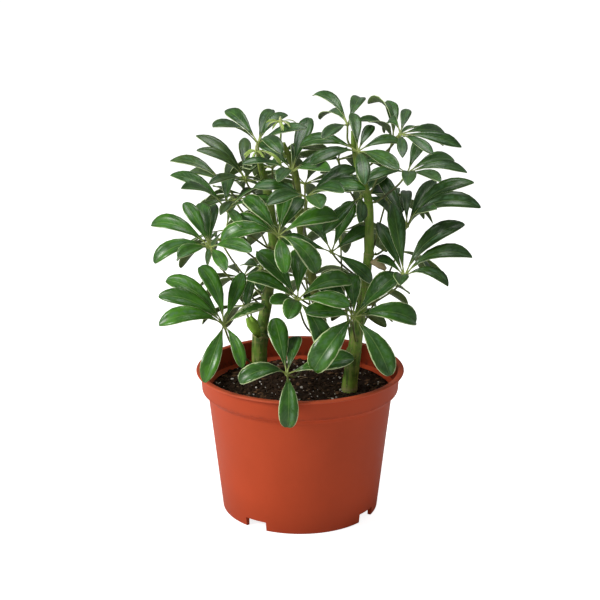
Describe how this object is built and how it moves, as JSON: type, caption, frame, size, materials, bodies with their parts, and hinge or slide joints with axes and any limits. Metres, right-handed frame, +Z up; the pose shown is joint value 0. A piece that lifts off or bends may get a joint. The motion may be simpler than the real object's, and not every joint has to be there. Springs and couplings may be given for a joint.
{
  "type": "potted umbrella plant",
  "caption": "Potted umbrella plant: upright stems with whorled, glossy variegated leaflets in a tapered terracotta-coloured plastic nursery pot.",
  "frame": {"origin": "centre of the pot's flat underside, where it stands on the floor", "axes": "+Z up along the pot's axis, -Y the front"},
  "size_m": [0.251, 0.2301, 0.3302],
  "materials": {
    "pot": "satin",
    "soil": "matt, crumbly potting soil with bark and perlite",
    "stem": "green, ringed with leaf scars",
    "leaf": "glossy dark green with cream margins",
    "young_leaf": "satin yellow-green"
  },
  "bodies": {
    "root": {"pot": "pot", "soil": "soil", "stem_left": "stem", "stem_right": "stem", "stem_middle": "stem", "frond_01": "leaf", "frond_02": "leaf", "frond_03": "leaf", "frond_04": "leaf", "frond_05": "leaf", "frond_06": "leaf", "frond_07": "leaf", "frond_08": "leaf", "frond_09": "leaf", "frond_10": "leaf", "frond_11": "leaf", "frond_12": "leaf", "frond_13": "leaf", "frond_14": "leaf", "frond_15": "leaf", "frond_16": "leaf", "frond_17": "leaf", "frond_18": "leaf", "frond_19": "leaf", "frond_20": "leaf", "frond_21": "leaf", "frond_22": "leaf", "frond_23": "leaf", "frond_24": "leaf", "frond_25": "leaf", "frond_26": "leaf", "frond_27": "leaf", "frond_28": "leaf", "frond_29": "leaf", "frond_30": "leaf", "frond_31": "leaf", "frond_32": "leaf", "frond_33": "leaf", "frond_34": "leaf", "frond_35": "leaf", "frond_36": "leaf", "frond_37": "leaf", "frond_38": "leaf", "frond_39": "leaf", "frond_40": "leaf", "young_frond_1": "young_leaf", "young_frond_2": "young_leaf"}
  },
  "joints": []
}
